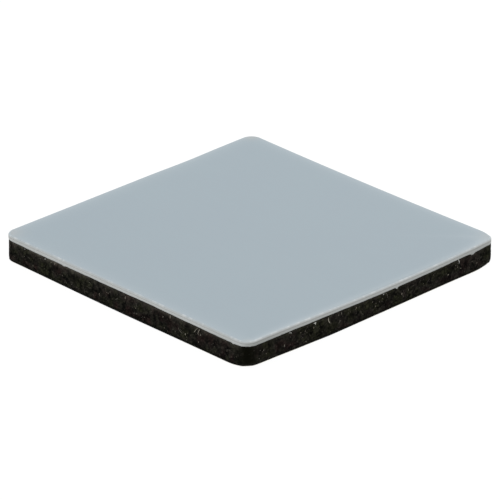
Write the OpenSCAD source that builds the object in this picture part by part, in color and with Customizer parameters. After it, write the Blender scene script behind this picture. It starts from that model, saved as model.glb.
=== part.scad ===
// Square self-adhesive furniture slider: a PTFE glide plate bonded to a rubber pad, with double-sided
// tape and a split release liner under the pad. Millimetres.
// +Z points out of the glide face, the underside of the liner lies on z = 0, and the slit of the liner
// runs along Y.

/* [Outline] */
// Side of the square slider
pad_side = 60; // [30:1:100]
// Corner radius of the glide plate, and of the rubber where it meets the plate
plate_corner_r = 2.2; // [1:0.1:6]
// Corner radius at the foot of the rubber, which the tape and the liner share
foot_corner_r = 3.5; // [1:0.1:8]

/* [Glide plate] */
// Thickness of the PTFE plate
plate_t = 1; // [0.5:0.1:3]
// Rounding that the die leaves along the upper edge of the plate
plate_edge_r = 0.3; // [0.1:0.05:0.45]

/* [Rubber pad] */
// Thickness of the contact adhesive that bonds the plate to the rubber
bond_t = 0.1; // [0.05:0.01:0.3]
// Thickness of the rubber
rubber_t = 3.6; // [1.5:0.1:8]

/* [Mounting tape] */
// Thickness of the adhesive film on the rubber side of the tape
inner_adhesive_t = 0.07; // [0.03:0.01:0.2]
// Thickness of the film that carries both adhesives
carrier_t = 0.06; // [0.02:0.01:0.2]
// Thickness of the adhesive film that grips the furniture leg
outer_adhesive_t = 0.07; // [0.03:0.01:0.2]

/* [Release liner] */
// Thickness of the liner paper
liner_t = 0.1; // [0.05:0.01:0.2]
// Width of the slit between the two leaves of the liner
slit_w = 0.3; // [0.1:0.1:2]

/* [Hidden] */

// Heights of the undersides of the layers, stacked from the liner upwards
outer_adhesive_z = liner_t;
carrier_z = outer_adhesive_z + outer_adhesive_t;
inner_adhesive_z = carrier_z + carrier_t;
rubber_z = inner_adhesive_z + inner_adhesive_t;
bond_z = rubber_z + rubber_t;
plate_z = bond_z + bond_t;

// Thin slices of the rubber's foot and top, between which its corners are lofted
slice_t = 0.01;
left = -1;
right = 1;
$fn = 64;

// Square outline with round corners, centred on the origin
module outline(corner_r) {
    straight = pad_side - 2 * corner_r;
    square([pad_side, straight], center = true);
    square([straight, pad_side], center = true);
    for (x = [-1, 1], y = [-1, 1])
        translate([x, y] * straight / 2)
            circle(corner_r);
}

// Flat layer of the laminate, with its underside at height z
module layer(z, thickness, corner_r) {
    translate([0, 0, z])
        linear_extrude(thickness)
            outline(corner_r);
}

// Section of the plate from its middle out to reach, with the upper outer edge rounded
module plate_section(reach) {
    square([reach, plate_t - plate_edge_r]);
    square([reach - plate_edge_r, plate_t]);
    translate([reach - plate_edge_r, plate_t - plate_edge_r])
        circle(plate_edge_r);
}

// PTFE plate that slides on the floor: four straight edges and four turned corners
module glide_plate() {
    straight = pad_side - 2 * plate_corner_r;
    color("#a8b5bc")
        translate([0, 0, plate_z])
            for (turn = [0:90:270])
                rotate(turn) {
                    rotate([90, 0, 0])
                        linear_extrude(straight, center = true)
                            plate_section(pad_side / 2);
                    translate([straight, straight] / 2)
                        rotate_extrude()
                            plate_section(plate_corner_r);
                }
}

// Contact adhesive between the etched back of the plate and the rubber
module plate_bond() {
    color("#3b2a20")
        layer(bond_z, bond_t, plate_corner_r);
}

// Rubber pad, whose corners grow rounder towards the foot
module rubber_pad() {
    color("#1e1c18")
        hull($fn = 32) {
            layer(rubber_z, slice_t, foot_corner_r);
            layer(bond_z - slice_t, slice_t, plate_corner_r);
        }
}

// Adhesive film that holds the tape to the rubber
module tape_inner_adhesive() {
    color("#20201d")
        layer(inner_adhesive_z, inner_adhesive_t, foot_corner_r);
}

// Film in the middle of the tape
module tape_carrier() {
    color("#2b2b28")
        layer(carrier_z, carrier_t, foot_corner_r);
}

// Adhesive film that holds the slider to the furniture leg
module tape_outer_adhesive() {
    color("#20201d")
        layer(outer_adhesive_z, outer_adhesive_t, foot_corner_r);
}

// Half of the release liner, from the slit out to the edge of the pad on the given side
module liner_leaf(side) {
    color("#eeebdf")
        linear_extrude(liner_t)
            intersection() {
                outline(foot_corner_r);
                translate([side * (slit_w + pad_side) / 2, 0])
                    square(pad_side, center = true);
            }
}

glide_plate();
plate_bond();
rubber_pad();
tape_inner_adhesive();
tape_carrier();
tape_outer_adhesive();
liner_leaf(left);  // liner_left_leaf
liner_leaf(right);  // liner_right_leaf
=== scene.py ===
"""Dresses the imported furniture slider: glide plate, bond, ground-rubber pad, mounting tape and liner.

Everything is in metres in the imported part's own frame: +Z points out of the glide face, and X and Y run
along the sides of the square. One die cut all the layers, so their walls share one walk round the square,
and each new piece is a stack of rings on that walk, or spindles laid along it.
"""

import logging
import math
from dataclasses import dataclass
from enum import Enum
from functools import cached_property
from typing import Any

import bpy
import numpy as np
from mathutils import Matrix, Vector


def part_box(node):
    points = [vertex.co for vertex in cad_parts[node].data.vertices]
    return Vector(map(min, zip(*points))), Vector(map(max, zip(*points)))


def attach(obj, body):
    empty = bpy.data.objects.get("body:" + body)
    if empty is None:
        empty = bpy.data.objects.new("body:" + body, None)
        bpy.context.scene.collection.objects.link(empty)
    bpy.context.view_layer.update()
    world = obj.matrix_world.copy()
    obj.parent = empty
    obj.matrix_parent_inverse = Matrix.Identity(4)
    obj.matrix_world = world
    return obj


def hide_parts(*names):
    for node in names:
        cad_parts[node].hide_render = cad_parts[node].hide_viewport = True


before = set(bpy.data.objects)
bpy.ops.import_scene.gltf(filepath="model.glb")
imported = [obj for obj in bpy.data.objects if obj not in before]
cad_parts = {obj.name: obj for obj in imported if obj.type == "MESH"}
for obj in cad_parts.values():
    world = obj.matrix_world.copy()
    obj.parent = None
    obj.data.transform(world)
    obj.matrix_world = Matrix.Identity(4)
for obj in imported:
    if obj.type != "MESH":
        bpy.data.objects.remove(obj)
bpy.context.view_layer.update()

MM = 0.001
SHARP_DEG = 50
# Sockets of a Mix node that is set to colours, which go by number
SHARE, UNDER, OVER = 0, 6, 7
MIXED = 2
LOG = logging.getLogger("slider")

Piece = bpy.types.Object
Tree = bpy.types.NodeTree
Socket = bpy.types.NodeSocket


class Wall(Enum):
    """Walls in the order of the walk round the slider, anticlockwise seen from the glide face."""

    RIGHT = 0
    BACK = 1
    LEFT = 2
    FRONT = 3


class Body(Enum):
    """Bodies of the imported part."""

    PAD = "pad"
    LEFT_LEAF = "left_leaf"
    RIGHT_LEAF = "right_leaf"


class Slot(Enum):
    """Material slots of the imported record."""

    PTFE = "ptfe"
    CONTACT_ADHESIVE = "contact_adhesive"
    RUBBER = "rubber"
    TAPE_ADHESIVE = "tape_adhesive"
    TAPE_FILM = "tape_film"
    LINER_PAPER = "liner_paper"


def linear(hex_colour: str) -> tuple[float, ...]:
    """Turns an sRGB hex colour into linear light, by the sRGB curve's straight foot and 2.4 power.

    Args:
        hex_colour: colour such as "#a8b5bc".

    Returns:
        Linear red, green, blue and an alpha of 1.
    """
    channels = np.array([int(hex_colour[i:i + 2], 16) for i in (1, 3, 5)]) / 255
    curve = np.where(channels <= 0.04045, channels / 12.92, ((channels + 0.055) / 1.055) ** 2.4)
    return (*curve.tolist(), 1.0)


def per_metre(size_mm: float) -> float:
    """Texture scale whose features are size_mm across, on coordinates in metres."""
    return 1 / (size_mm * MM)


def add_node(tree: Tree, kind: str, output: str | int, inputs: dict, **settings: Any) -> Socket:
    """Adds a shader node with its settings, values and links.

    Args:
        tree: node tree that gets the node.
        kind: Blender's name for the node's class, after ShaderNode.
        output: name or number of the output that is wanted.
        inputs: socket name or number to a value, or to the output socket that feeds it.
        settings: properties of the node itself.

    Returns:
        The wanted output socket.
    """
    node = tree.nodes.new("ShaderNode" + kind)
    for name, value in settings.items():
        setattr(node, name, value)
    for socket, value in inputs.items():
        if isinstance(value, Socket):
            tree.links.new(value, node.inputs[socket])
        else:
            node.inputs[socket].default_value = value
    return node.outputs[output]


def make_mesh(name: str, points: np.ndarray, faces: list, traits: dict[str, np.ndarray]) -> Piece:
    """Puts points and faces into a smooth mesh object at the origin.

    Args:
        name: name of the piece.
        points: vertices of shape (count, 3).
        faces: arrays of vertex numbers, one array for each number of corners.
        traits: values for each vertex, by the attribute's name.

    Returns:
        The linked object.
    """
    mesh = bpy.data.meshes.new(name)
    mesh.from_pydata(points.tolist(), [], [corner for group in faces for corner in group.tolist()])
    mesh.shade_smooth()
    mesh.set_sharp_from_angle(angle=math.radians(SHARP_DEG))
    for trait, values in traits.items():
        store = mesh.attributes.new(trait, "FLOAT", "POINT")
        store.data.foreach_set("value", np.ascontiguousarray(values, np.float32).ravel())
    piece = bpy.data.objects.new(name, mesh)
    bpy.context.scene.collection.objects.link(piece)
    return piece


def close_rings(name: str, rings: np.ndarray, traits: dict[str, np.ndarray]) -> Piece:
    """Closed surface over a stack of rings, from the underside's middle out and up to the middle on top.

    Neighbouring points of neighbouring rings make a quad, and a fan joins the first and the last ring to
    a point at their middle.

    Args:
        name: name of the piece.
        rings: points of shape (rows, columns, 3), each ring anticlockwise seen from above.
        traits: values of shape (rows, columns), by the attribute's name.

    Returns:
        The linked object.
    """
    rows, columns = rings.shape[:2]
    number = np.arange(rows * columns).reshape(rows, columns)
    onward = np.roll(number, -1, axis=1)
    quads = np.stack([number[:-1], onward[:-1], onward[1:], number[1:]], axis=-1).reshape(-1, 4)
    bottom = np.full(columns, rows * columns)
    fans = np.concatenate([
        np.stack([bottom, onward[0], number[0]], axis=-1),
        np.stack([bottom + 1, number[-1], onward[-1]], axis=-1),
    ])
    points = np.concatenate([rings.reshape(-1, 3), rings[[0, -1]].mean(axis=1)])
    values = {trait: np.append(grid.ravel(), grid[[0, -1]].mean(axis=1)) for trait, grid in traits.items()}
    return make_mesh(name, points, [quads, fans], values)


@dataclass(frozen=True)
class Finish:
    """Real material and how its surface was made: values for the whole surface, and a pattern over it.

    The pattern's grain spreads the roughness between its two values and lifts the surface by the relief.
    """

    name: str
    ior: float
    specular: float
    roughness: tuple[float, float]
    relief: float = 0.0
    relief_mm: float = 0.0

    def pattern(self, tree: Tree, place: Socket) -> tuple[Socket, Socket]:
        """Adds the nodes that vary over the surface.

        Args:
            tree: node tree of the material.
            place: Object coordinates.

        Returns:
            Colour and grain.
        """
        raise NotImplementedError

    def material(self) -> bpy.types.Material:
        """Makes the material, or gives the one that was made before.

        Returns:
            Material with a Principled shader fed by the pattern.
        """
        if self.name in bpy.data.materials:
            return bpy.data.materials[self.name]
        made = bpy.data.materials.new(self.name)
        made.use_nodes = True
        tree = made.node_tree
        tree.nodes.clear()
        colour, grain = self.pattern(tree, add_node(tree, "TexCoord", "Object", {}))
        inputs = {"Base Color": colour, "IOR": self.ior, "Specular IOR Level": self.specular}
        inputs["Roughness"] = add_node(tree, "MapRange", "Result", {
            "Value": grain, "To Min": self.roughness[0], "To Max": self.roughness[1]})
        if self.relief:
            inputs["Normal"] = add_node(tree, "Bump", "Normal", {
                "Height": grain, "Strength": self.relief, "Distance": self.relief_mm * MM})
        shader = add_node(tree, "BsdfPrincipled", "BSDF", inputs)
        tree.links.new(shader, tree.nodes.new("ShaderNodeOutputMaterial").inputs["Surface"])
        return made


@dataclass(frozen=True)
class SkivedPtfe(Finish):
    """Grey PTFE sheet, skived from a billet: waxy satin, faintly lined by the knife, paled at the edge by
    the die and by a painted highlight, and darkened down the cut wall by painted shade.
    """

    name: str = "ptfe_sheet_skived"
    ior: float = 1.35
    specular: float = 0.5
    roughness: tuple[float, float] = (0.42, 0.5)
    relief: float = 0.15
    relief_mm: float = 0.01
    face: tuple[str, str] = ("#a0aeb7", "#a1b0b8")
    # Pale wear along the arris together with a painted highlight there
    paled_and_highlight: str = "#dce3e6"
    cut: tuple[str, str] = ("#b0b3b2", "#bbbebd")
    # Painted shade down the cut wall, in its groove and at its foot
    wall_shade: str = "#858886"
    line_spacing_mm: float = 0.35
    line_length_mm: float = 45
    cloud_mm: float = 9
    flake_mm: float = 0.5

    def pattern(self, tree: Tree, place: Socket) -> tuple[Socket, Socket]:
        """Clouds the face, pales its edge by wear and a painted highlight, flakes the cut wall and darkens
        it by painted shade, and lines it all by the knife.

        Args:
            tree: node tree of the material.
            place: Object coordinates.

        Returns:
            Colour and grain.
        """
        tones = []
        for size_mm, (dark, light) in ((self.cloud_mm, self.face), (self.flake_mm, self.cut)):
            cloud = add_node(tree, "TexNoise", "Fac", {
                "Vector": place, "Scale": per_metre(size_mm), "Detail": 2.0})
            tones.append(add_node(tree, "Mix", MIXED, {
                SHARE: cloud, UNDER: linear(dark), OVER: linear(light)}, data_type="RGBA"))
        colour, cut = tones
        # The pale coat is pale wear plus a painted highlight, and the last coat is painted shade
        coats = (("paled_and_highlight", linear(self.paled_and_highlight)), ("sheared", cut), ("plate_shade", linear(self.wall_shade)))
        for trait, tint in coats:
            share = add_node(tree, "Attribute", "Fac", {}, attribute_name=trait)
            colour = add_node(tree, "Mix", MIXED, {
                SHARE: share, UNDER: colour, OVER: tint}, data_type="RGBA")
        along, across = per_metre(self.line_length_mm), per_metre(self.line_spacing_mm)
        drawn = add_node(tree, "Mapping", "Vector", {"Vector": place, "Scale": (along, across, across)})
        return colour, add_node(tree, "TexNoise", "Fac", {"Vector": drawn, "Scale": 1.0, "Detail": 3.0})


@dataclass(frozen=True)
class TonedScrap(Finish):
    """Scrap in the rubber: matt and gritty, each piece with a tone of its own between two colours."""

    roughness: tuple[float, float] = (0.6, 0.85)
    dark: str = "#2b2824"
    light: str = "#8f8779"
    grit_mm: float = 0.1

    def pattern(self, tree: Tree, place: Socket) -> tuple[Socket, Socket]:
        """Colours each scrap by its own tone and roughens it with grit.

        Args:
            tree: node tree of the material.
            place: Object coordinates.

        Returns:
            Colour and grain.
        """
        tone = add_node(tree, "Attribute", "Fac", {}, attribute_name="tone")
        colour = add_node(tree, "Mix", MIXED, {
            SHARE: tone, UNDER: linear(self.dark), OVER: linear(self.light)}, data_type="RGBA")
        return colour, add_node(tree, "TexNoise", "Fac", {
            "Vector": place, "Scale": per_metre(self.grit_mm), "Detail": 2.0})


@dataclass(frozen=True)
class GroundRubber(TonedScrap):
    """Black sheet pressed from ground rubber and die-cut: matt, mottled brown and olive, with painted shade
    at the seams, along the foot and at the swept corners.
    """

    name: str = "ground_rubber_die_cut"
    ior: float = 1.5
    specular: float = 0.02
    roughness: tuple[float, float] = (0.7, 0.9)
    relief: float = 0.5
    relief_mm: float = 0.03
    dark: str = "#030303"
    light: str = "#2d2b26"
    grit_mm: float = 0.12
    brown: str = "#2b1f1d"
    olive: str = "#1a1b11"
    hue_share: float = 0.9
    fleck: str = "#48443d"
    fleck_mm: float = 0.3
    fleck_range: tuple[float, float] = (0.62, 0.8)
    fleck_share: float = 0.7
    # Painted shade: the seams between crumbs, the foot, and the corners where the foot is swept
    seam: str = "#040403"
    rubber_shade: str = "#0a0a05"
    dust: str = "#6f6b62"

    def pattern(self, tree: Tree, place: Socket) -> tuple[Socket, Socket]:
        """Tints the toned crumbs brown or olive in patches, and adds flecks, painted shade at seams, along
        the foot and at swept corners, and dust.

        Args:
            tree: node tree of the material.
            place: Object coordinates.

        Returns:
            Colour and grain.
        """
        crumb, grit = super().pattern(tree, place)
        patch = add_node(tree, "Attribute", "Fac", {}, attribute_name="hue")
        for most, hue in ((1.0, self.brown), (-1.0, self.olive)):
            share = add_node(tree, "MapRange", "Result", {
                "Value": patch, "From Max": most, "To Max": self.hue_share})
            crumb = add_node(tree, "Mix", MIXED, {
                SHARE: share, UNDER: crumb, OVER: linear(hue)}, data_type="RGBA", blend_type="COLOR")
        flecks = add_node(tree, "TexNoise", "Fac", {
            "Vector": place, "Scale": per_metre(self.fleck_mm), "Detail": 1.0})
        start, end = self.fleck_range
        coats = [(self.fleck, add_node(tree, "MapRange", "Result", {
            "Value": flecks, "From Min": start, "From Max": end, "To Max": self.fleck_share}))]
        # The seam coat and the next are painted shade, and the last is dust
        for trait, tint in (("seam", self.seam), ("rubber_shade", self.rubber_shade), ("dust", self.dust)):
            coats.append((tint, add_node(tree, "Attribute", "Fac", {}, attribute_name=trait)))
        for tint, share in coats:
            crumb = add_node(tree, "Mix", MIXED, {
                SHARE: share, UNDER: crumb, OVER: linear(tint)}, data_type="RGBA")
        return crumb, grit


@dataclass(frozen=True)
class CoatedFilm(Finish):
    """Thin coated sheet, such as glue, tape film or liner paper: two close colours in soft streaks."""

    relief: float = 0.4
    relief_mm: float = 0.004
    colours: tuple[str, str] = ("#181815", "#242421")
    streak_mm: tuple[float, float] = (6.0, 1.2)

    def pattern(self, tree: Tree, place: Socket) -> tuple[Socket, Socket]:
        """Streaks the sheet along the way it was coated.

        Args:
            tree: node tree of the material.
            place: Object coordinates.

        Returns:
            Colour and grain.
        """
        along, across = (per_metre(size_mm) for size_mm in self.streak_mm)
        drawn = add_node(tree, "Mapping", "Vector", {"Vector": place, "Scale": (along, across, across)})
        streaks = add_node(tree, "TexNoise", "Fac", {"Vector": drawn, "Scale": 1.0, "Detail": 4.0})
        dark, light = self.colours
        colour = add_node(tree, "Mix", MIXED, {
            SHARE: streaks, UNDER: linear(dark), OVER: linear(light)}, data_type="RGBA")
        return colour, streaks


SKIVED_PTFE = SkivedPtfe()
GROUND_RUBBER = GroundRubber()
# Ground rubber holds paler crumbs, dull grey-brown specks on the cut
PALE_CRUMB = TonedScrap("pale_rubber_crumb", 1.5, 0.15, dark="#2a2723", light="#857d70")
# Textile fluff from the ground rubber, thin grey strands that stand out of the cut
CORD_FLUFF = TonedScrap("polyester_cord_fluff", 1.5, 0.3, dark="#3a3731", light="#aaa497")
# Shreds of PTFE that the die drew out of the plate: thin, waxy and pale
PTFE_SHRED = TonedScrap("ptfe_shred_torn", 1.35, 0.3, dark="#55544f", light="#c9c9c4")
# Polychloroprene contact cement, brushed on: a dark brown line, slightly shiny
CONTACT_CEMENT = CoatedFilm(
    "contact_cement_brushed", 1.53, 0.4, (0.35, 0.5), colours=("#1d140f", "#35251b"), streak_mm=(2.0, 0.6))
# Black acrylic transfer adhesive, coated: wet-looking and nearly black
ACRYLIC_ADHESIVE = CoatedFilm(
    "acrylic_adhesive_coated", 1.47, 0.05, (0.2, 0.35), colours=("#080807", "#0e0e0d"), streak_mm=(8.0, 1.5))
# Black polyester film, drawn: smooth satin sheen on its cut edge
POLYESTER_FILM = CoatedFilm(
    "polyester_film_drawn", 1.6, 0.05, (0.3, 0.4), colours=("#0a0a09", "#111110"), streak_mm=(12.0, 0.8))
# Glassine paper with silicone on one side, calendered: off-white, hazy sheen, faintly streaked pulp
GLASSINE = CoatedFilm(
    "glassine_paper_siliconised", 1.5, 0.5, (0.38, 0.52), relief_mm=0.006,
    colours=("#ece8db", "#f3f0e7"), streak_mm=(3.0, 0.7))


def fit(piece: Piece, finish: Finish, body: Body, slot: Slot, *nodes: str) -> Piece:
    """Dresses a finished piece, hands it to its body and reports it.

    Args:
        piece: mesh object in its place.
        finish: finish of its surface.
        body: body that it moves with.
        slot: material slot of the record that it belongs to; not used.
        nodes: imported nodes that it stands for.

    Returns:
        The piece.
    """
    piece.data.materials.append(finish.material())
    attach(piece, body.value)
    if nodes:
        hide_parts(*nodes)
    faces = len(piece.data.polygons)
    LOG.info("%s: %d faces in %s, rides on %s", piece.name, faces, finish.name, body.value)
    return piece


@dataclass(frozen=True)
class Grain:
    """Random pattern round the walls: the side of its lattice cells, and the seed of its random numbers."""

    cell_mm: float
    seed: int


@dataclass(frozen=True)
class Bell:
    """Bump along the walk, size * exp(-(gap / flank)^2), with its own flank before and after the peak.

    The position is walked along the wall from its middle and goes on through the corner after it.
    """

    wall: Wall
    position_mm: float
    size: float
    before_mm: float
    after_mm: float


@dataclass(frozen=True)
class DieCut:
    """Cut that all layers share, as columns of points on a walk round the square.

    A quarter of the walk is one wall and the corner after it, anticlockwise from the right wall. The first
    part of each quarter runs along the wall and the rest turns through the corner on every ring, so the
    columns of all rings line up. Values for each wall are listed in the order of the walk. The die drew the
    plate's edge down where droop isn't 0, a wall is hollow along its length where hollow isn't 0, all layers
    are cut short by the trim, and only the foot by the sweeps.
    """

    half: float
    radius: float = 2.2 * MM
    inmost_radius: float = 0.3 * MM
    middle_depth: float = 27 * MM
    hollow: tuple[float, ...] = (0.0, 0.35 * MM, 0.04 * MM, 0.0)
    trim: tuple[Bell, ...] = (Bell(Wall.FRONT, 30.5, 0.25 * MM, 1.8, 16.0),)
    sweeps: tuple[Bell, ...] = (
        Bell(Wall.RIGHT, 18.0, 0.10 * MM, 10.0, 7.0),
        Bell(Wall.RIGHT, 28.7, 0.52 * MM, 2.3, 1.0),
        Bell(Wall.BACK, 29.5, 0.50 * MM, 2.2, 2.2),
        Bell(Wall.LEFT, 31.0, 0.20 * MM, 1.3, 14.0),
        Bell(Wall.FRONT, 29.0, 0.80 * MM, 1.9, 1.85),
        Bell(Wall.FRONT, 31.2, 0.46 * MM, 1.5, 9.0),
    )
    droop: tuple[float, ...] = (0.485 * MM, 0.0, 0.0, 0.0)
    droop_rise: float = 1.5
    droop_fall: float = 0.9
    roll_width: float = 3.0 * MM
    lean_share: float = 0.35
    wall_share: float = 0.9
    quarter_columns: int = 500
    layer_rings: int = 5

    @cached_property
    def place(self) -> np.ndarray:
        """Place of each column on the walk, in quarters from 0 up to 4."""
        return np.arange(4 * self.quarter_columns) / self.quarter_columns

    @cached_property
    def distance(self) -> np.ndarray:
        """Distance walked to each column: whole quarters, then the wall, then the corner's arc."""
        wall, along, turn = self.split(self.place)
        return wall * self.quarter + (along + 1) * (self.half - self.radius) + turn * self.radius

    @cached_property
    def quarter(self) -> float:
        """Length of one wall and one corner."""
        return 2 * (self.half - self.radius) + self.radius * math.pi / 2

    @cached_property
    def length(self) -> float:
        """Length of the whole walk."""
        return 4 * self.quarter

    @cached_property
    def sag(self) -> np.ndarray:
        """How far the die drew the plate's edge down at each column.

        Along a wall, with u from -1 to 1, it follows (1 + u)^rise (1 - u)^fall over that curve's own peak,
        so it is 0 at the corners and deepest a little past the middle.
        """
        wall, along, _ = self.split(self.place)
        peak = (self.droop_rise - self.droop_fall) / (self.droop_rise + self.droop_fall)
        shape = (1 + along) ** self.droop_rise * (1 - along) ** self.droop_fall
        top = (1 + peak) ** self.droop_rise * (1 - peak) ** self.droop_fall
        return np.array(self.droop)[wall] * shape / top

    @cached_property
    def trimmed(self) -> np.ndarray:
        """Inset of all layers at each column, the sum of the trim."""
        return self.bumps(self.trim)

    @cached_property
    def short(self) -> np.ndarray:
        """Inset of the foot at each column, the sum of the sweeps."""
        return self.bumps(self.sweeps)

    def bumps(self, bells: tuple[Bell, ...]) -> np.ndarray:
        """Sum of bells at each column, by the gap to each peak the short way round."""
        total = np.zeros_like(self.place)
        for bell in bells:
            ahead = self.distance - self.spot(bell.wall, bell.position_mm)
            gap = np.mod(ahead + self.length / 2, self.length) - self.length / 2
            flank = np.where(gap < 0, bell.before_mm, bell.after_mm) * MM
            total = total + bell.size * np.exp(-(gap / flank) ** 2)
        return total

    def lattice(self, cell_mm: float, height: Any) -> tuple[int, np.ndarray, np.ndarray]:
        """Lays square cells over the walls, a whole number of them round the walk.

        Args:
            cell_mm: side of a cell.
            height: heights on the walls, broadcast with the columns.

        Returns:
            Number of cells round the walk, and places along it and up the wall, in cells.
        """
        walk, height = np.broadcast_arrays(self.distance, height)
        count = max(round(self.length / (cell_mm * MM)), 3)
        return count, walk / self.length * count, (height - height.min()) / (cell_mm * MM)

    def noise(self, grain: Grain, height: Any = 0.0) -> np.ndarray:
        """Smooth random relief round the walls.

        Each corner of the lattice has a random number, and the lattice closes on itself. A point blends the
        four numbers round it with the weights 3t^2 - 2t^3.

        Args:
            grain: cells and seed.
            height: heights on the walls, broadcast with the columns.

        Returns:
            Relief from -1 to 1.
        """
        count, u, v = self.lattice(grain.cell_mm, height)
        i, j = np.floor(u).astype(int), np.floor(v).astype(int)
        s, t = (part ** 2 * (3 - 2 * part) for part in (u - i, v - j))
        corners = np.random.default_rng(grain.seed).uniform(-1, 1, (count, j.max() + 2))
        near = corners[i % count, j] * (1 - s) + corners[(i + 1) % count, j] * s
        far = corners[i % count, j + 1] * (1 - s) + corners[(i + 1) % count, j + 1] * s
        return near * (1 - t) + far * t

    def crumbs(self, grain: Grain, height: np.ndarray) -> tuple[np.ndarray, np.ndarray]:
        """Crumbs packed side by side round the walls.

        Each cell of the lattice holds one crumb's centre at a random place. A point belongs to the nearest
        centre, and how far it is from a seam is the second-nearest distance less the nearest.

        Args:
            grain: mean size of a crumb, and seed of the centres and tones.
            height: heights on the walls, as a column.

        Returns:
            Distance from the seam in cells, and the tone of the point's crumb from 0 to 1.
        """
        count, u, v = self.lattice(grain.cell_mm, height)
        v = v + 1
        rng = np.random.default_rng(grain.seed)
        rows = int(v.max()) + 3
        centres = rng.uniform(0, 1, (count, rows, 2))
        tones = rng.uniform(0, 1, (count, rows))
        step = np.stack(np.meshgrid([-1, 0, 1], [-1, 0, 1], indexing="ij")).reshape(2, 9, 1, 1)
        i = np.floor(u).astype(int) + step[0]
        j = np.floor(v).astype(int) + step[1]
        centre = centres[i % count, j]
        away = np.hypot(i + centre[..., 0] - u, j + centre[..., 1] - v)
        order = np.argsort(away, axis=0)
        nearest, second = np.take_along_axis(away, order[:2], axis=0)
        return second - nearest, np.take_along_axis(tones[i % count, j], order[:1], axis=0)[0]

    def roll(self, depth: np.ndarray) -> np.ndarray:
        """Share of the sag at a depth inside the cut: (1 - depth / width)^2, and 0 past the rolled width."""
        return np.clip(1 - depth / self.roll_width, 0, 1) ** 2

    def split(self, place: np.ndarray) -> tuple[np.ndarray, np.ndarray, np.ndarray]:
        """Splits places on the walk.

        Args:
            place: places in quarters.

        Returns:
            Number of the wall, place along it from -1 to 1, and angle turned through its corner.
        """
        wall = np.floor(place).astype(int) % 4
        share = place - np.floor(place)
        along = 2 * np.clip(share / self.wall_share, 0, 1) - 1
        turn = np.clip((share - self.wall_share) / (1 - self.wall_share), 0, 1) * np.pi / 2
        return wall, along, turn

    def per_wall(self, values: tuple[float, ...]) -> np.ndarray:
        """Values given for each wall, at each column, changing evenly through the corners."""
        wall, _, turn = self.split(self.place)
        given = np.array(values)
        return given[wall] + (given[(wall + 1) % 4] - given[wall]) * turn / (np.pi / 2)

    def at(self, values: np.ndarray, place: np.ndarray) -> np.ndarray:
        """Values of the columns at any places on the walk, by straight interpolation."""
        return np.interp(place, self.place, values, period=4)

    def points(self, place: np.ndarray, inset: Any, height: Any, foot: Any) -> np.ndarray:
        """Points on the walls or inside them.

        In the frame of its own quarter, whose wall faces along x, a point lies r - inset from the centre
        of its corner's circle, at the angle turned, and on the wall that centre slides along with it and
        sinks by hollow (1 - u^2). Deeper than the corner's radius, the square itself shrinks.

        Args:
            place: places on the walk, in quarters.
            inset: depth inside the die's outline.
            height: height of the points.
            foot: share of the foot's sweeps, 0 at the plate and 1 at the foot.

        Returns:
            Points in the common shape of the arguments, with a last axis of 3.
        """
        place, inset, height, foot = np.broadcast_arrays(place, inset, height, foot)
        wall, along, turn = self.split(place)
        inset = inset + self.at(self.trimmed, place) + foot * self.at(self.short, place)
        deep = np.maximum(inset - self.radius + self.inmost_radius, 0)
        centre = self.half - self.radius - deep
        reach = self.radius - inset + deep
        x = centre + reach * np.cos(turn) - np.array(self.hollow)[wall] * (1 - along ** 2)
        y = centre * along + reach * np.sin(turn)
        cosine = np.array([1, 0, -1, 0])[wall]
        sine = np.array([0, 1, 0, -1])[wall]
        return np.stack([x * cosine - y * sine, x * sine + y * cosine, height], axis=-1)

    def rings(self, inset: np.ndarray, height: np.ndarray, foot: Any = 0.0) -> np.ndarray:
        """Rings at all columns, of shape (rows, columns, 3), from values of shape (rows, 1 or columns)."""
        return self.points(self.place, inset, height, foot)

    def layer(self, node: str, flat_end: float, nose: float, bulge: float) -> tuple[np.ndarray, np.ndarray]:
        """Section of a thin layer: out along its underside, up its edge and back over its top.

        With t from -1 to 1 up the edge, the edge lies at the depth nose + bulge t^2.

        Args:
            node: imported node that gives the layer's heights.
            flat_end: depth at which the flat faces end.
            nose: depth of the edge at half height.
            bulge: how much deeper the edge lies at the top and at the bottom.

        Returns:
            Depths and heights, as columns.
        """
        low, high = (corner.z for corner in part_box(node))
        flat = np.geomspace(self.middle_depth, flat_end, self.layer_rings)
        t = np.linspace(-1, 1, self.layer_rings)
        depth = np.concatenate([flat, nose + bulge * t ** 2, flat[::-1]])
        level = np.pad(t, self.layer_rings, "edge")
        return depth[:, None], ((low + high) / 2 + (high - low) / 2 * level)[:, None]

    def outward(self, place: np.ndarray) -> np.ndarray:
        """Directions out of the wall at places on the walk, with a last axis of 3."""
        wall, _, turn = self.split(place)
        angle = turn + wall * np.pi / 2
        return np.stack([np.cos(angle), np.sin(angle), np.zeros_like(angle)], axis=-1)

    def spot(self, wall: Wall, position_mm: float) -> float:
        """Distance walked to a spot on a wall, from its position along the wall, 0 at the middle."""
        return wall.value * self.quarter + self.half - self.radius + position_mm * MM

    def place_at(self, distance: np.ndarray) -> np.ndarray:
        """Places on the walk at distances walked, by straight interpolation between columns."""
        ends = np.append(self.distance, self.length)
        return np.interp(np.mod(distance, self.length), ends, np.append(self.place, 4.0))


def ramp(value: np.ndarray, start: Any, width: float) -> np.ndarray:
    """Smooth step t^2 (3 - 2 t) from 0 at the start to 1 a width later."""
    t = np.clip((value - start) / width, 0, 1)
    return t ** 2 * (3 - 2 * t)


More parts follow.
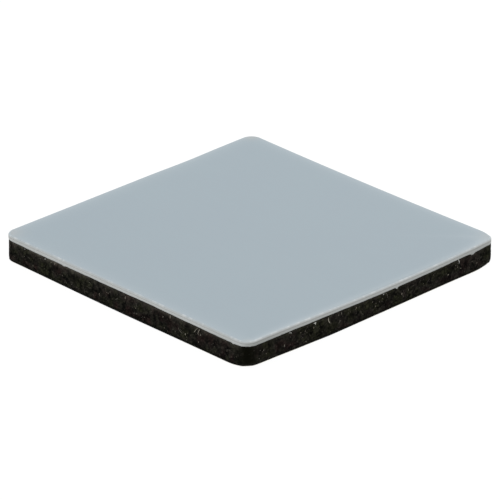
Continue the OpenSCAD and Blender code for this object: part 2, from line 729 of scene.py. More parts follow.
@dataclass
class GlidePlate:
    """PTFE plate: sheared wall with a ragged hem, rounded arris, and an edge that the die drew down."""

    cut: DieCut
    arris: float = 0.3 * MM
    margin: float = 0.005 * MM
    lip_depth: float = 0.09 * MM
    lip_half_width: float = 0.06 * MM
    lip_hang: float = -0.03 * MM
    lip_ragged: float = 0.02 * MM
    lip_grains: tuple[Grain, ...] = (Grain(3.0, 11), Grain(0.5, 12))
    trimmed: tuple[Bell, ...] = (
        Bell(Wall.RIGHT, 30.6, 0.27 * MM, 0.9, 1.1),
        Bell(Wall.LEFT, -13.5, 0.18 * MM, 6.0, 6.0),
    )
    hem: tuple[Bell, ...] = (
        Bell(Wall.RIGHT, -29.2, 0.08 * MM, 0.25, 0.25),
        Bell(Wall.RIGHT, -12.5, -0.05 * MM, 4.0, 4.0),
        Bell(Wall.RIGHT, 5.5, 0.24 * MM, 0.28, 0.28),
        Bell(Wall.RIGHT, 8.0, 0.07 * MM, 8.0, 9.0),
        Bell(Wall.RIGHT, 16.7, 0.06 * MM, 0.25, 0.25),
        Bell(Wall.RIGHT, 24.2, 0.25 * MM, 0.55, 0.35),
        Bell(Wall.RIGHT, 25.0, 0.09 * MM, 2.0, 1.6),
        Bell(Wall.BACK, -11.0, 0.18 * MM, 0.25, 0.25),
        Bell(Wall.LEFT, 8.0, 0.16 * MM, 0.25, 0.25),
        Bell(Wall.FRONT, -28.0, -0.05 * MM, 2.0, 4.0),
        Bell(Wall.FRONT, -20.0, 0.05 * MM, 7.0, 4.0),
        Bell(Wall.FRONT, -14.6, 0.12 * MM, 0.40, 0.40),
        Bell(Wall.FRONT, 5.0, -0.085 * MM, 9.0, 9.0),
        Bell(Wall.FRONT, 23.0, 0.03 * MM, 4.0, 3.0),
        Bell(Wall.FRONT, 26.5, 0.14 * MM, 0.25, 0.25),
        Bell(Wall.FRONT, 29.4, -0.09 * MM, 1.2, 1.2),
    )
    groove_drop: float = 0.42 * MM
    groove_half_width: float = 0.06 * MM
    groove_depth: float = 0.04 * MM
    # Painted shade in the groove
    groove_shade: float = 0.2
    # Painted highlight, with pale wear, on the arris and the face beside it: strip, shine and glints
    strip: tuple[float, ...] = (0.31, 0.22, 0.22, 0.125)
    strip_width: tuple[float, ...] = (0.5 * MM, 0.9 * MM, 1.0 * MM, 1.2 * MM)
    strip_wider: tuple[Bell, ...] = (Bell(Wall.RIGHT, 29.5, 2.5 * MM, 3.0, 3.0),)
    shine: tuple[float, ...] = (0.53, 0.5, 0.5, 0.4)
    shine_more: tuple[Bell, ...] = (
        Bell(Wall.RIGHT, -27.0, -0.1, 3.0, 6.0),
        Bell(Wall.RIGHT, 26.0, -0.08, 6.0, 4.0),
        Bell(Wall.LEFT, 29.5, 0.12, 3.0, 2.0),
        Bell(Wall.FRONT, 29.5, 0.13, 2.5, 2.0),
    )
    glint: float = 0.42
    glint_grains: tuple[Grain, ...] = (Grain(1.1, 13), Grain(0.4, 14))
    shear_start: tuple[float, ...] = (-0.12 * MM, 0.0, 0.0, -0.1 * MM)
    shear_width: float = 0.45 * MM
    scuff_share: tuple[float, ...] = (0.5, 0.8, 0.6, 0.9)
    scuff_reach: tuple[float, ...] = (1.8 * MM, 1.6 * MM, 2.3 * MM, 0.75 * MM)
    # Painted shade down the cut wall: per wall, in bells, and at the foot
    wall_shade: tuple[float, ...] = (0.5, 0.2, 0.1, 0.0)
    wall_shade_more: tuple[Bell, ...] = (
        Bell(Wall.RIGHT, 25.0, 0.12, 5.0, 3.0),
        Bell(Wall.FRONT, -26.0, 0.08, 2.0, 5.0),
        Bell(Wall.FRONT, 25.0, 0.13, 4.0, 2.0),
        Bell(Wall.FRONT, 29.8, 0.33, 1.3, 7.0),
    )
    wall_shade_drop: tuple[float, float] = (0.06 * MM, 0.42 * MM)
    foot_shade: tuple[float, ...] = (0.25, 0.3, 0.4, 0.5)
    foot_reach: float = 0.35 * MM
    under_rings: int = 6
    lip_rings: int = 6
    wall_rings: int = 6
    groove_rings: int = 5
    arris_rings: int = 9
    face_rings: int = 15

    def hang(self) -> np.ndarray:
        """How far the hem hangs below the plate at each column: coarse and fine noise, plus its bells."""
        ragged = sum(self.cut.noise(grain) for grain in self.lip_grains)
        return self.lip_hang + self.lip_ragged * ragged + self.cut.bumps(self.hem)

    def build(self) -> Piece:
        """Carries the plate's section round the cut.

        The section runs from the middle of the underside out to a half-round lip, up the sheared wall with
        its groove, round the arris and over the glide face to its middle. The hem pulls the lip down, and
        the wall above it by a share that fades out at the groove. Each ring sinks by its share of the sag,
        and the wall leans in below where it was drawn down.

        Returns:
            The plate, dressed and riding on the pad.
        """
        low, high = (corner.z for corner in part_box("glide_plate"))
        under_end = self.lip_depth + 2 * self.lip_half_width
        under = np.geomspace(self.cut.middle_depth, under_end, self.under_rings)
        half_turn = np.linspace(0, np.pi, self.lip_rings)
        lip = self.lip_depth + self.lip_half_width * np.cos(half_turn)
        groove_height = high - self.groove_drop
        wall = np.linspace(low, groove_height - self.groove_half_width, self.wall_rings + 1)[1:]
        groove = np.linspace(-1, 1, self.groove_rings + 1)[1:]
        turn = np.linspace(0, np.pi / 2, self.arris_rings)
        face = np.geomspace(self.arris, self.cut.middle_depth, self.face_rings + 1)[1:]
        depth = np.concatenate([
            under,
            lip,
            np.full_like(wall, self.margin),
            self.margin + self.groove_depth * (1 - groove ** 2),
            self.margin + self.arris * (1 - np.cos(turn)),
            self.margin + face,
        ])[:, None]
        height = np.concatenate([
            np.full(len(under) + len(lip), low),
            wall,
            groove_height + self.groove_half_width * groove,
            high - self.arris * (1 - np.sin(turn)),
            np.full_like(face, high),
        ])[:, None]
        first_lip, first_wall = len(under), len(under) + len(lip)
        first_face = len(depth) - len(face)
        hung = np.clip((groove_height - height) / (groove_height - low), 0, 1)
        hung[:first_lip] = 0.0
        lip_drop = np.zeros_like(depth)
        lip_drop[first_lip:first_wall, 0] = self.lip_half_width / 2 * np.sin(half_turn)
        sag_share = self.cut.roll(depth - self.margin)
        sag_share[first_lip:first_face] = 1.0
        sunk = sag_share * self.cut.sag
        lean = self.cut.lean_share * sunk * (high - height) / (high - low) + self.cut.bumps(self.trimmed)
        points = self.cut.rings(depth + lean, height - lip_drop - hung * self.hang() - sunk)
        piece = close_rings("glide_plate_sheet", points, self.wear(points, depth, high - height, first_face))
        return fit(piece, SKIVED_PTFE, Body.PAD, Slot.PTFE, "glide_plate")

    def wear(self, points: np.ndarray, depth: np.ndarray, drop: np.ndarray,
             first_face: int) -> dict[str, np.ndarray]:
        """Shares of pale wear with painted highlight, sheared PTFE and painted shade on the plate's rings.

        The arris is paled most, by pale wear and a painted highlight with painted glints of noise along the
        walk, and the face beside it by strip * exp(-depth / width). The wall is sheared from just under the
        arris, and so are the scuffed corners of the face, by a bell round each corner. Painted shade grows
        down the wall, and again in the groove and at the foot.

        Args:
            points: rings of the plate.
            depth: depth of each ring inside the cut.
            drop: how far each ring lies below the face.
            first_face: number of the face's first ring.

        Returns:
            Shares by trait, in the rings' shape.
        """
        # Painted highlight with painted glints on the arris, together with pale wear, fading onto the face
        strip = self.cut.per_wall(self.strip)
        width = self.cut.per_wall(self.strip_width) + self.cut.bumps(self.strip_wider)
        glint = np.maximum(sum(self.cut.noise(grain) for grain in self.glint_grains), 0)
        shine = self.cut.per_wall(self.shine) + self.cut.bumps(self.shine_more) + self.glint * glint
        inward = np.clip((depth - self.margin) / self.arris, 0, 1)
        paled_and_highlight = strip + (shine - strip) * np.sqrt(1 - inward ** 2)
        paled_and_highlight = paled_and_highlight * np.exp(-np.maximum(depth - self.margin - self.arris, 0) / width)
        sheared = ramp(drop, self.cut.per_wall(self.shear_start), self.shear_width)
        sheared[first_face:] = 0.0
        for wall, share, reach in zip(Wall, self.scuff_share, self.scuff_reach):
            corner = np.array(wall.value + (1 + self.cut.wall_share) / 2)
            away = np.linalg.norm(points - self.cut.points(corner, 0.0, points[..., 2], 0.0), axis=-1)
            scuff = share * np.exp(-(away / reach) ** 2)
            sheared[first_face:] = np.maximum(sheared, scuff)[first_face:]
        # Painted shade down the wall, in the groove and at the foot
        shade_share = self.cut.per_wall(self.wall_shade) + self.cut.bumps(self.wall_shade_more)
        low_down = 1 - np.clip((drop.max() - drop) / self.foot_reach, 0, 1)
        grooved = np.exp(-((drop - self.groove_drop) / self.groove_half_width) ** 2)
        plate_shade = shade_share * ramp(drop, *self.wall_shade_drop) + self.cut.per_wall(self.foot_shade) * low_down ** 2
        return {
            "paled_and_highlight": paled_and_highlight,
            "sheared": sheared,
            "plate_shade": np.minimum(plate_shade + self.groove_shade * grooved, 1),
        }


@dataclass
class PlateBond:
    """Contact cement between plate and rubber, a thin dark line set back under the plate."""

    cut: DieCut
    inset: float = 0.17 * MM
    ragged: float = 0.03 * MM
    grain: Grain = Grain(1.5, 21)

    def build(self) -> Piece:
        """Carries a flat section with a bulged, ragged edge round the cut, sunk with the plate.

        Returns:
            The bond, dressed and riding on the pad.
        """
        depth, height = self.cut.layer("plate_bond", 2 * self.inset, self.inset, self.ragged)
        sag_share = self.cut.roll(depth)
        shift = self.cut.lean_share * self.cut.sag + self.ragged * self.cut.noise(self.grain)
        points = self.cut.rings(depth + shift * sag_share, height - self.cut.sag * sag_share)
        piece = close_rings("contact_bond", points, {})
        return fit(piece, CONTACT_CEMENT, Body.PAD, Slot.CONTACT_ADHESIVE, "plate_bond")


@dataclass(frozen=True)
class Strand:
    """Fibre or shred that lies at a chosen place on a wall: its middle, length, slant, radius and tone."""

    wall: Wall
    position_mm: float
    height_mm: float
    length_mm: float
    slant_deg: float
    radius_mm: float
    tone: float


@dataclass
class RubberPad:
    """Ground-rubber pad: crumbs and seams on its cut wall, with stray fibres, paler crumbs and shreds in it.

    Of the pairs, grains are coarse and fine, clear is at the foot and at the top, dust_cloud is a mean and
    a swing, crumb_tone is the two powers of a beta draw, and the others are the least and the most.
    """

    cut: DieCut
    rows: int = 36
    cap_rings: int = 4
    cap_tone: float = 0.5
    foot_inset: float = 0.01 * MM
    top_inset: float = 0.06 * MM
    undercut: float = 14.0
    crumb_grains: tuple[Grain, Grain] = (Grain(0.7, 31), Grain(0.315, 32))
    tone_mix: tuple[float, float, float] = (0.8, 0.55, -0.2)
    seam_depth: float = 0.05 * MM
    seam_width: float = 0.25
    fine_seam: float = 0.6
    grit_grain: Grain = Grain(0.25, 33)
    grit_depth: float = 0.025 * MM
    hue_grains: tuple[Grain, Grain] = (Grain(2.5, 35), Grain(1.0, 35))
    hue_drift: tuple[float, ...] = (-0.2, 0.0, 0.0, 0.0)
    dust_share: tuple[float, ...] = (0.1, 0.1, 0.1, 0.26)
    dust_more: tuple[Bell, ...] = (Bell(Wall.FRONT, -18.0, 0.2, 10.0, 9.0),)
    dust_reach: float = 0.35 * MM
    dust_grain: Grain = Grain(0.6, 34)
    dust_cloud: tuple[float, float] = (0.8, 0.6)
    # Reach of the painted shade up from the foot
    foot_shade_reach: float = 0.2 * MM
    sink: float = 0.03 * MM
    swept_thinning: float = 0.7
    rise_steps: int = 4
    strand_steps: int = 9
    strand_bend: float = 0.2
    strand_clear: float = 0.1 * MM
    fibre_seed: int = 41
    fibres_per_wall: int = 16
    fibre_clear: tuple[float, float] = (0.5 * MM, 0.7 * MM)
    fibre_length: tuple[float, float] = (0.4 * MM, 1.6 * MM)
    fibre_radius: tuple[float, float] = (0.014 * MM, 0.024 * MM)
    fibre_tone: tuple[float, float] = (0.05, 0.45)
    crumb_seed: int = 43
    crumb_steps: int = 6
    crumbs_per_wall: int = 70
    crumb_clear: tuple[float, float] = (0.3 * MM, 0.5 * MM)
    crumb_length: tuple[float, float] = (0.12 * MM, 0.4 * MM)
    crumb_girth: tuple[float, float] = (0.18, 0.3)
    crumb_tone: tuple[float, float] = (1.2, 4.0)
    strands: tuple[Strand, ...] = (
        Strand(Wall.RIGHT, -10.7, 2.80, 1.30, -72, 0.060, 0.8),
        Strand(Wall.FRONT, 17.6, 3.15, 1.50, 51, 0.035, 0.9),
        Strand(Wall.FRONT, 18.3, 3.20, 1.25, 64, 0.035, 0.8),
        Strand(Wall.FRONT, 18.8, 2.75, 0.40, 75, 0.035, 0.7),
        Strand(Wall.FRONT, 11.5, 3.50, 0.60, 90, 0.050, 0.8),
        Strand(Wall.FRONT, 9.8, 2.90, 0.40, 80, 0.040, 0.6),
        Strand(Wall.FRONT, 0.6, 3.25, 0.50, 85, 0.060, 0.5),
        Strand(Wall.FRONT, 15.1, 1.60, 0.40, 85, 0.060, 0.7),
        Strand(Wall.FRONT, -16.9, 3.50, 0.60, 60, 0.040, 0.6),
        Strand(Wall.FRONT, -17.9, 3.45, 0.50, 60, 0.030, 0.4),
        Strand(Wall.RIGHT, -26.0, 2.55, 0.35, 60, 0.050, 0.5),
        Strand(Wall.RIGHT, -21.2, 1.70, 0.50, 88, 0.050, 0.5),
        Strand(Wall.RIGHT, -7.7, 3.10, 0.60, 90, 0.040, 0.45),
        Strand(Wall.RIGHT, 8.3, 2.05, 0.40, 70, 0.040, 0.45),
    )
    shred_seed: int = 42
    shreds: tuple[Strand, ...] = (
        Strand(Wall.RIGHT, -19.8, 3.50, 0.80, -20, 0.060, 0.6),
        Strand(Wall.RIGHT, -14.1, 3.48, 0.60, 10, 0.110, 0.6),
        Strand(Wall.RIGHT, -13.9, 3.30, 0.50, 75, 0.080, 0.75),
        Strand(Wall.RIGHT, 2.3, 3.22, 0.35, 30, 0.070, 0.6),
        Strand(Wall.RIGHT, 5.5, 3.42, 0.50, 80, 0.095, 1.0),
        Strand(Wall.RIGHT, 20.6, 3.25, 0.90, -80, 0.065, 0.8),
        Strand(Wall.RIGHT, 24.1, 3.56, 0.70, 15, 0.080, 1.0),
        Strand(Wall.FRONT, -24.5, 3.68, 0.40, 10, 0.050, 0.4),
        Strand(Wall.FRONT, -19.4, 3.66, 0.50, 20, 0.060, 0.6),
    )

    def __post_init__(self) -> None:
        """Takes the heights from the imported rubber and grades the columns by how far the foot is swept."""
        self.low, self.high = (corner.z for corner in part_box("rubber_pad"))
        self.swept = (self.cut.short / self.cut.short.max()) ** 2

    def wall_inset(self, rise: np.ndarray, sag: np.ndarray) -> np.ndarray:
        """Depth of the bare wall by rise, 0 at the foot and 1 at the top: a batter, and a lean by rise^2."""
        batter = self.foot_inset + (self.top_inset - self.foot_inset) * rise
        return batter + self.cut.lean_share * sag * rise ** 2

    def foot_share(self, rise: np.ndarray) -> np.ndarray:
        """Share of the foot's sweeps by rise, (1 - rise)^undercut, so the wall turns in near the foot."""
        return (1 - rise) ** self.undercut

    def build_wall(self) -> Piece:
        """Carries the pad's section round the cut, with crumbs and seams pressed into its wall.

        A wall point lies at the bare wall's depth, plus the seam's depth where crumbs meet, plus grit. The
        top sinks with the plate, and the rubber below it is squeezed by the square of the rise. Dust of the
        cut plate lies on the top of the wall and thins out downwards as exp(-drop / reach). Painted shade
        darkens the seams, the foot and, by the square of the sweeps, where the die cut the foot short.

        Returns:
            The pad, dressed and riding on the pad's body.
        """
        rise = np.linspace(0, 1, self.rows)[:, None]
        height = self.low + (self.high - self.low) * rise
        (gap, tone), (fine_gap, fine_tone) = (self.cut.crumbs(grain, height) for grain in self.crumb_grains)
        tone = self.tone_mix[0] * tone + self.tone_mix[1] * fine_tone + self.tone_mix[2]
        near, fine_near = (1 - np.clip(away / self.seam_width, 0, 1) for away in (gap, fine_gap))
        # Seams sink into the wall, and the same mask paints them darker as painted shade
        seam = np.maximum(near ** 2, self.fine_seam * fine_near ** 2)
        grit = 0.5 + 0.5 * self.cut.noise(self.grit_grain, height)
        cloud = self.dust_cloud[0] + self.dust_cloud[1] * self.cut.noise(self.dust_grain, height)
        # Painted shade along the foot and where the foot is swept
        rubber_shade = np.minimum(self.swept + np.exp(-((height - self.low) / self.foot_shade_reach) ** 2), 1)
        dusty = (self.cut.per_wall(self.dust_share) + self.cut.bumps(self.dust_more)) * cloud * (1 - rubber_shade)
        hue = sum(self.cut.noise(grain, height) for grain in self.hue_grains)
        sag = self.cut.sag
        inset = self.wall_inset(rise, sag) + self.seam_depth * seam + self.grit_depth * grit
        wall = self.cut.rings(inset, height - sag * rise ** 2, self.foot_share(rise))
        inner = np.geomspace(self.cut.middle_depth, self.top_inset * 3, self.cap_rings)[:, None]
        floor = self.cut.rings(inner, np.full_like(inner, self.low), 1.0)
        ceiling = self.cut.rings(inner[::-1], self.high - self.cut.roll(inner[::-1]) * sag)
        caps = ((self.cap_rings, self.cap_rings), (0, 0))
        walls = {
            "seam": seam,
            "hue": hue + self.cut.per_wall(self.hue_drift),
            "rubber_shade": rubber_shade,
            "dust": dusty * np.exp((height - self.high) / self.dust_reach),
        }
        traits = {name: np.pad(grid, caps) for name, grid in walls.items()}
        traits["tone"] = np.pad(np.clip(tone, 0, 1), caps, constant_values=self.cap_tone)
        piece = close_rings("ground_rubber_pad", np.concatenate([floor, wall, ceiling]), traits)
        return fit(piece, GROUND_RUBBER, Body.PAD, Slot.RUBBER, "rubber_pad")

    def spindles(self, name: str, walk: np.ndarray, height: np.ndarray, girth: np.ndarray, tone: np.ndarray,
                 sides: int = 6) -> Piece:
        """Thin spindles that lie in the wall, each a round section carried along its own path.

        A point is the path plus the girth times (cos a, sin a) in the plane of the wall's outward
        direction and the direction across the path. The ends close to points. A stout spindle sinks until
        it stays inside the die's outline, and where the foot is swept spindles are thin and stay under the
        skin. The path's rise on the squeezed wall solves height = low + (high - low) rise - sag rise^2, in
        a few repeated steps.

        Args:
            name: name of the piece.
            walk: distance walked along each path, of shape (spindles, steps).
            height: height along each path.
            girth: radius along each path.
            tone: tone of each spindle.
            sides: points of a section.

        Returns:
            The linked object.
        """
        place = self.cut.place_at(walk)
        sag = self.cut.at(self.cut.sag, place)
        rise = (height - self.low) / (self.high - self.low)
        for _ in range(self.rise_steps):
            rise = np.clip((height - self.low + sag * rise ** 2) / (self.high - self.low), 0, 1)
        girth = girth * (1 - self.swept_thinning * self.cut.at(self.swept, place))
        inset = np.maximum(self.wall_inset(rise, sag) + self.sink, girth.max(axis=1, keepdims=True))
        path = self.cut.points(place, inset, height, self.foot_share(rise))
        out = self.cut.outward(place)
        across = np.cross(np.gradient(path, axis=1), out)
        across /= np.linalg.norm(across, axis=-1, keepdims=True)
        angle = np.arange(sides) * 2 * np.pi / sides
        ring = np.cos(angle)[:, None] * out[:, :, None] + np.sin(angle)[:, None] * across[:, :, None]
        skin = path[:, 1:-1, None] + girth[:, 1:-1, None, None] * ring[:, 1:-1]
        count, steps = skin.shape[:2]
        points = np.concatenate([skin.reshape(count, -1, 3), path[:, [0, -1]]], axis=1)
        first = np.arange(count)[:, None, None] * points.shape[1]
        number = np.arange(steps * sides).reshape(steps, sides)
        onward = np.roll(number, -1, axis=1)
        quads = np.stack([number[:-1], number[1:], onward[1:], onward[:-1]], axis=-1).reshape(1, -1, 4)
        end = np.full(sides, steps * sides)
        fans = np.concatenate([
            np.stack([end, number[0], onward[0]], axis=-1),
            np.stack([end + 1, onward[-1], number[-1]], axis=-1),
        ])[None]
        faces = [(quads + first).reshape(-1, 4), (fans + first).reshape(-1, 3)]
        return make_mesh(name, points.reshape(-1, 3), faces, {"tone": np.repeat(tone, points.shape[1])})

    def bent(self, name: str, strands: np.ndarray, rng: np.random.Generator) -> Piece:
        """Lays bent spindles on the wall.

        Along t from -1 to 1 a spindle runs straight at its slant and bows aside by its bend times 1 - t^2.

        Args:
            name: name of the piece.
            strands: rows of distance walked, height, length, slant in degrees, radius and tone.
            rng: source of the bends.

        Returns:
            The linked object.
        """
        walk, height, length, slant, radius = (column[:, None] for column in strands.T[:5])
        slant = np.radians(slant)
        bend = rng.uniform(-self.strand_bend, self.strand_bend, len(walk))[:, None] * length
        t = np.linspace(-1, 1, self.strand_steps)[None, :]
        run = length / 2 * t
        bow = bend * (1 - t ** 2)
        climb = np.clip(height + run * np.sin(slant) + bow * np.cos(slant),
                        self.low + self.strand_clear, self.high - self.strand_clear)
        path = walk + run * np.cos(slant) - bow * np.sin(slant)
        return self.spindles(name, path, climb, radius * (1 - t ** 4), strands[:, 5])

    def listed(self, strands: tuple[Strand, ...]) -> np.ndarray:
        """Chosen strands as rows of distance walked, height, length, slant, radius and tone."""
        return np.array([
            (self.cut.spot(strand.wall, strand.position_mm), strand.height_mm * MM, strand.length_mm * MM,
             strand.slant_deg, strand.radius_mm * MM, strand.tone) for strand in strands])

    def build_fibres(self) -> Piece:
        """Lays the few fibres that stand out, and scatters faint ones over the rest of the wall.

        Returns:
            The fibres as one piece, dressed and riding on the pad.
        """
        rng = np.random.default_rng(self.fibre_seed)
        count = 4 * self.fibres_per_wall
        spans = (
            (0, self.cut.length),
            (self.low + self.fibre_clear[0], self.high - self.fibre_clear[1]),
            self.fibre_length,
            (-90, 90),
            self.fibre_radius,
            self.fibre_tone,
        )
        scattered = np.stack([rng.uniform(*span, count) for span in spans], axis=-1)
        piece = self.bent("cord_fluff", np.concatenate([self.listed(self.strands), scattered]), rng)
        return fit(piece, CORD_FLUFF, Body.PAD, Slot.RUBBER)

    def build_shreds(self) -> Piece:
        """Lays the shreds of PTFE that the die left on the rubber under the plate.

        Returns:
            The shreds as one piece, dressed and riding on the pad.
        """
        piece = self.bent("ptfe_shreds", self.listed(self.shreds), np.random.default_rng(self.shred_seed))
        return fit(piece, PTFE_SHRED, Body.PAD, Slot.PTFE)

    def build_pale_crumbs(self) -> Piece:
        """Scatters paler crumbs over the wall as short stout spindles of girth R (1 - t^2)^(1/2).

        Returns:
            The crumbs as one piece, dressed and riding on the pad.
        """
        rng = np.random.default_rng(self.crumb_seed)
        shape = (4 * self.crumbs_per_wall, 1)
        walk = rng.uniform(0, self.cut.length, shape)
        height = rng.uniform(self.low + self.crumb_clear[0], self.high - self.crumb_clear[1], shape)
        length = rng.uniform(*self.crumb_length, shape)
        slant = rng.uniform(-np.pi / 2, np.pi / 2, shape)
        tone = rng.beta(*self.crumb_tone, len(walk))
        t = np.linspace(-1, 1, self.crumb_steps)[None, :]
        run = length / 2 * t
        girth = length * rng.uniform(*self.crumb_girth, shape) * np.sqrt(1 - t ** 2)
        piece = self.spindles(
            "pale_crumbs", walk + run * np.cos(slant), height + run * np.sin(slant), girth, tone)
        return fit(piece, PALE_CRUMB, Body.PAD, Slot.RUBBER)


@dataclass(frozen=True)
class TapeLayer:
    """One layer of the mounting tape: how far its edge bulges, and where it hangs over what is below it."""

    node: str
    finish: Finish
    slot: Slot
    grain: Grain
    bulge: float = 0.0
    hem: tuple[Bell, ...] = ()


@dataclass
class MountingTape:
    """Double-sided tape: film between two adhesives that creep a little at the cut.

    The die drew the outer adhesive down over the liner's edge in two places.
    """

    cut: DieCut
    inset: float = 0.03 * MM
    lip: float = 0.05 * MM
    ragged: float = 0.008 * MM
    layers: tuple[TapeLayer, ...] = (
        TapeLayer("tape_inner_adhesive", ACRYLIC_ADHESIVE, Slot.TAPE_ADHESIVE, Grain(2.0, 51), 0.015 * MM),
        TapeLayer("tape_carrier", POLYESTER_FILM, Slot.TAPE_FILM, Grain(2.0, 52)),
        TapeLayer("tape_outer_adhesive", ACRYLIC_ADHESIVE, Slot.TAPE_ADHESIVE, Grain(2.0, 53), 0.015 * MM, (
            Bell(Wall.FRONT, 1.0, 0.09 * MM, 20.0, 12.0),
            Bell(Wall.RIGHT, -11.0, 0.095 * MM, 2.5, 8.0),
        )),
    )

    def build(self, layer: TapeLayer) -> Piece:
        """Carries one layer's section round the cut: flat faces and an edge that bulges by bulge (1 - t^2).

        The hem pulls the foot of the edge down, and fades out at its top.

        Args:
            layer: the layer to build.

        Returns:
            The layer, dressed and riding on the pad.
        """
        depth, height = self.cut.layer(layer.node, self.lip, self.inset - layer.bulge, layer.bulge)
        outer = depth < self.lip
        rough = self.ragged * self.cut.noise(layer.grain)
        hung = self.cut.bumps(layer.hem) * (height.max() - height) / np.ptp(height)
        points = self.cut.rings(depth + rough * outer, height - hung * outer, 1.0)
        piece = close_rings(layer.node + "_film", points, {})
        return fit(piece, layer.finish, Body.PAD, layer.slot, layer.node)


@dataclass(frozen=True)
class Leaf:
    """Leaf of the liner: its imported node, its body, and the wall at whose middle its outline starts."""

    node: str
    body: Body
    start: Wall


@dataclass
class ReleaseLiner:
    """Split release liner: two paper leaves that meet at the slit."""

    cut: DieCut
    inset: float = 0.06 * MM
    slit_points: int = 120
    leaf_columns: int = 700
    face_rings: int = 6
    face_scale: tuple[float, float] = (0.05, 0.95)
    pressed_scale: float = 0.999
    square_share: float = 0.6
    leaves: tuple[Leaf, ...] = (
        Leaf("liner_right_leaf", Body.RIGHT_LEAF, Wall.FRONT),
        Leaf("liner_left_leaf", Body.LEFT_LEAF, Wall.BACK),
    )

    def build(self, leaf: Leaf) -> Piece:
        """Closes one leaf's outline into a flat sheet with softly pressed edges.

        The outline follows the cut through half of the walk and comes back along the slit. Rings on both
        faces are the outline drawn in towards its middle. The edge is square over a share of the paper's
        thickness, and pressed in a little at both faces.

        Args:
            leaf: the leaf to build.

        Returns:
            The leaf, dressed and riding on its own body.
        """
        low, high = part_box(leaf.node)
        slit = min(low.x, high.x, key=abs)
        start = leaf.start.value + self.cut.wall_share / 2
        skip = abs(slit) / (self.cut.half - self.cut.radius) * self.cut.wall_share / 2
        places = np.linspace(start + skip, start + 2 - skip, self.leaf_columns)
        outer = self.cut.points(places, self.inset, 0.0, 1.0)[:, :2]
        outer[[0, -1], 0] = slit
        back = np.linspace(outer[-1], outer[0], self.slit_points + 2)[1:-1]
        outline = np.concatenate([outer, back])
        middle = outline.mean(axis=0)
        inward = np.linspace(*self.face_scale, self.face_rings)
        edge = [self.pressed_scale, 1.0, 1.0, self.pressed_scale]
        level = [-1.0, -self.square_share, self.square_share, 1.0]
        scale = np.concatenate([inward, edge, inward[::-1]])[:, None, None]
        rise = np.pad(level, self.face_rings, "edge")[:, None, None]
        flat = middle + (outline - middle) * scale
        height = (low.z + high.z) / 2 + (high.z - low.z) / 2 * rise
        rings = np.concatenate([flat, np.broadcast_to(height, (*flat.shape[:2], 1))], axis=-1)
        piece = close_rings(leaf.node + "_paper", rings, {})
        return fit(piece, GLASSINE, leaf.body, Slot.LINER_PAPER, leaf.node)


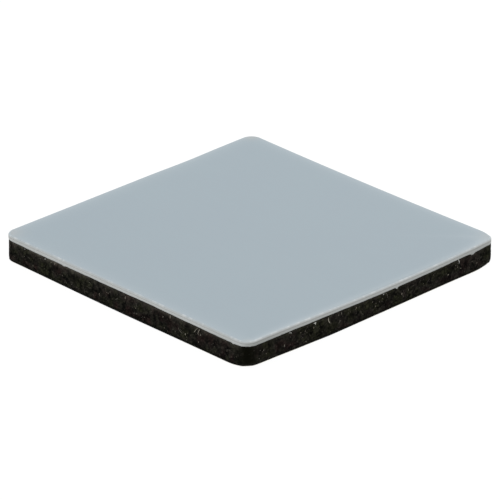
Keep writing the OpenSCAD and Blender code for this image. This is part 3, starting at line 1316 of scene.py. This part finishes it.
@dataclass
class Studio:
    """White light table, white surroundings, one soft lamp, and the camera at the photograph's angle."""

    azimuth_deg: float = 45.318
    elevation_deg: float = 25.43
    roll_deg: float = 0.31
    distance: float = 861.0 * MM
    aim_right: float = 0.03 * MM
    aim_up: float = 1.855 * MM
    lens_mm: float = 360
    clip_start: float = 10 * MM
    white: str = "#ffffff"
    room_strength: float = 0.82
    floor_glow: float = 0.95
    floor_colour: str = "#595958"
    floor_roughness: float = 0.9
    floor_half: float = 2.0
    floor_drop: float = 0.02 * MM
    lamp_place: tuple[float, float, float] = (-0.3, 0.45, 0.55)
    lamp_side: float = 0.5
    lamp_watts: float = 1.2

    def build_camera(self) -> None:
        """Sets the camera on its orbit: right, up and back follow azimuth and elevation, then the roll."""
        azimuth, elevation, roll = np.radians([self.azimuth_deg, self.elevation_deg, self.roll_deg])
        right = np.array([np.cos(azimuth), np.sin(azimuth), 0])
        level_back = np.array([np.sin(azimuth), -np.cos(azimuth), 0])
        back = level_back * np.cos(elevation) + np.array([0, 0, np.sin(elevation)])
        up = np.cross(back, right)
        place = right * self.aim_right + up * self.aim_up + back * self.distance
        rolled_right = right * np.cos(roll) + up * np.sin(roll)
        rolled_up = up * np.cos(roll) - right * np.sin(roll)
        lens = bpy.data.cameras.new("photo_camera")
        lens.lens = self.lens_mm
        lens.clip_start = self.clip_start
        camera = bpy.data.objects.new("photo_camera", lens)
        bpy.context.scene.collection.objects.link(camera)
        matrix = np.eye(4)
        matrix[:3] = np.stack([rolled_right, rolled_up, back, place], axis=-1)
        camera.matrix_world = Matrix(matrix.tolist())
        bpy.context.scene.camera = camera

    def build_floor(self) -> Piece:
        """Lays a flat glowing sheet just below the liner.

        Returns:
            The floor, marked as stage.
        """
        side = np.array([-self.floor_half, self.floor_half])
        x, y = np.meshgrid(side, side)
        points = np.stack([x, y, np.full_like(x, -self.floor_drop)], axis=-1).reshape(-1, 3)
        floor = make_mesh("light_table", points, [np.array([[0, 1, 3, 2]])], {})
        # Opal glass lit from below: it glows white and reflects little, so the slider casts hardly a shadow
        glass = bpy.data.materials.new("opal_glass_lit")
        glass.use_nodes = True
        inputs = {
            "Base Color": linear(self.floor_colour),
            "Roughness": self.floor_roughness,
            "Specular IOR Level": 0.0,
            "Emission Color": linear(self.white),
            "Emission Strength": self.floor_glow,
        }
        for socket, value in inputs.items():
            glass.node_tree.nodes["Principled BSDF"].inputs[socket].default_value = value
        floor.data.materials.append(glass)
        return floor

    def build_light(self) -> None:
        """Lights the room evenly and adds one soft lamp from behind."""
        world = bpy.data.worlds.new("white_room")
        bpy.context.scene.world = world
        world.use_nodes = True
        room = world.node_tree.nodes["Background"]
        room.inputs["Color"].default_value = linear(self.white)
        room.inputs["Strength"].default_value = self.room_strength
        lamp = bpy.data.lights.new("soft_lamp", "AREA")
        lamp.energy = self.lamp_watts
        lamp.size = self.lamp_side
        stand = bpy.data.objects.new("soft_lamp", lamp)
        stand.location = self.lamp_place
        stand.rotation_euler = Vector(self.lamp_place).to_track_quat("Z", "Y").to_euler()
        bpy.context.scene.collection.objects.link(stand)
        bpy.context.scene.view_settings.view_transform = "Standard"


def main() -> None:
    """Builds the camera, the slider's pieces from the glide face down, and the studio."""
    logging.basicConfig(level=logging.INFO, format="%(message)s")
    studio = Studio()
    studio.build_camera()
    cut = DieCut(half=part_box("glide_plate")[1].x)
    GlidePlate(cut).build()
    PlateBond(cut).build()
    rubber = RubberPad(cut)
    rubber.build_wall()
    rubber.build_fibres()
    rubber.build_shreds()
    rubber.build_pale_crumbs()
    tape = MountingTape(cut)
    for layer in tape.layers:
        tape.build(layer)
    liner = ReleaseLiner(cut)
    for leaf in liner.leaves:
        liner.build(leaf)
    studio.build_floor()
    studio.build_light()


if __name__ == "__main__":
    main()
